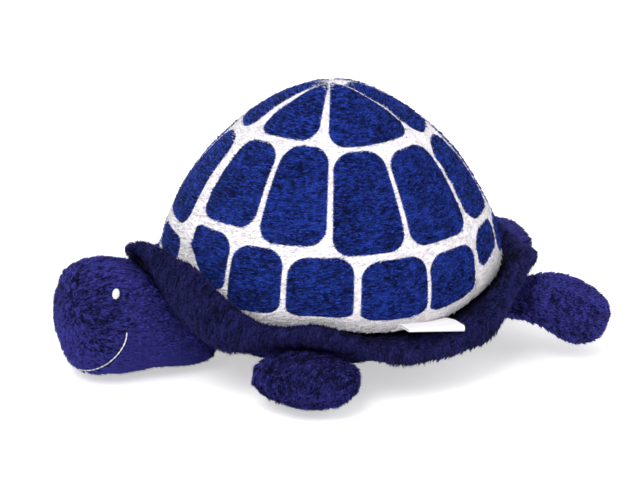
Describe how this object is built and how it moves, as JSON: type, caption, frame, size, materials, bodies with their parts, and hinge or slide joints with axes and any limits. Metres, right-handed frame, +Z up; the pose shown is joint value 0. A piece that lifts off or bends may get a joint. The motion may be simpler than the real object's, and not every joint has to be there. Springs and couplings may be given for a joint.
{
  "type": "plush turtle",
  "caption": "Stuffed plush turtle with a domed printed shell, a wavy padded rim, a head that turns and flippers and feet that flap.",
  "frame": {"origin": "the middle of the flat patch of the belly, on the floor under the top of the shell", "axes": "+Z up, -Y towards the head, +X towards the turtle's left side"},
  "size_m": [0.1692, 0.2165, 0.11],
  "materials": {
    "shell_print": "short-pile velour, royal blue shell plates printed on a white ground",
    "navy_plush": "navy plush with a pile of about 1.5 mm",
    "white_thread": "satin embroidery thread",
    "label_tape": "smooth woven tape, bare",
    "stuffing": "loose polyester fibre, sealed inside"
  },
  "bodies": {
    "body": {"shell_panel_left": "shell_print", "shell_panel_rear": "shell_print", "shell_panel_right": "shell_print", "body_stuffing": "stuffing", "rim_upper_panel": "navy_plush", "rim_lower_panel": "navy_plush", "rim_wadding": "stuffing", "belly_panel": "navy_plush"},
    "head": {"head_panel_left": "navy_plush", "head_panel_right": "navy_plush", "head_stuffing": "stuffing", "eye_stitching_left": "white_thread", "eye_stitching_right": "white_thread", "mouth_stitching": "white_thread"},
    "label": {"care_label": "label_tape"},
    "front_flipper_left": {"front_flipper_left_upper_panel": "navy_plush", "front_flipper_left_lower_panel": "navy_plush", "front_flipper_left_stuffing": "stuffing"},
    "front_flipper_right": {"front_flipper_right_upper_panel": "navy_plush", "front_flipper_right_lower_panel": "navy_plush", "front_flipper_right_stuffing": "stuffing"},
    "rear_foot_left": {"rear_foot_left_upper_panel": "navy_plush", "rear_foot_left_lower_panel": "navy_plush", "rear_foot_left_stuffing": "stuffing"},
    "rear_foot_right": {"rear_foot_right_upper_panel": "navy_plush", "rear_foot_right_lower_panel": "navy_plush", "rear_foot_right_stuffing": "stuffing"}
  },
  "joints": [
    {"name": "head_turn", "type": "hinge", "parent": "body", "child": "head", "pos_m": [0, -0.05567, 0.017], "axis": [0, -0.5948, 0.8038], "range_deg": [-10, 10], "stiffness_Nm_per_rad": 0.08},
    {"name": "front_flipper_left_flap", "type": "hinge", "parent": "body", "child": "front_flipper_left", "pos_m": [0.04816, -0.02561, 0.0165], "axis": [-0.4695, -0.8829, 0], "range_deg": [0, 4], "stiffness_Nm_per_rad": 0.02},
    {"name": "front_flipper_right_flap", "type": "hinge", "parent": "body", "child": "front_flipper_right", "pos_m": [-0.04816, -0.02561, 0.0165], "axis": [-0.4695, 0.8829, 0], "range_deg": [0, 4], "stiffness_Nm_per_rad": 0.02},
    {"name": "rear_foot_left_flap", "type": "hinge", "parent": "body", "child": "rear_foot_left", "pos_m": [0.02167, 0.05795, 0.022], "axis": [0.8039, -0.5948, 0], "range_deg": [-6, 6], "stiffness_Nm_per_rad": 0.05},
    {"name": "rear_foot_right_flap", "type": "hinge", "parent": "body", "child": "rear_foot_right", "pos_m": [-0.02167, 0.05795, 0.022], "axis": [0.8039, 0.5948, 0], "range_deg": [-6, 6], "stiffness_Nm_per_rad": 0.05},
    {"name": "care_label_flip", "type": "hinge", "parent": "body", "child": "label", "pos_m": [0.06137, 0.01417, 0.02863], "axis": [0.225, -0.9744, 0], "range_deg": [0, 35], "stiffness_Nm_per_rad": 0.0005}
  ]
}
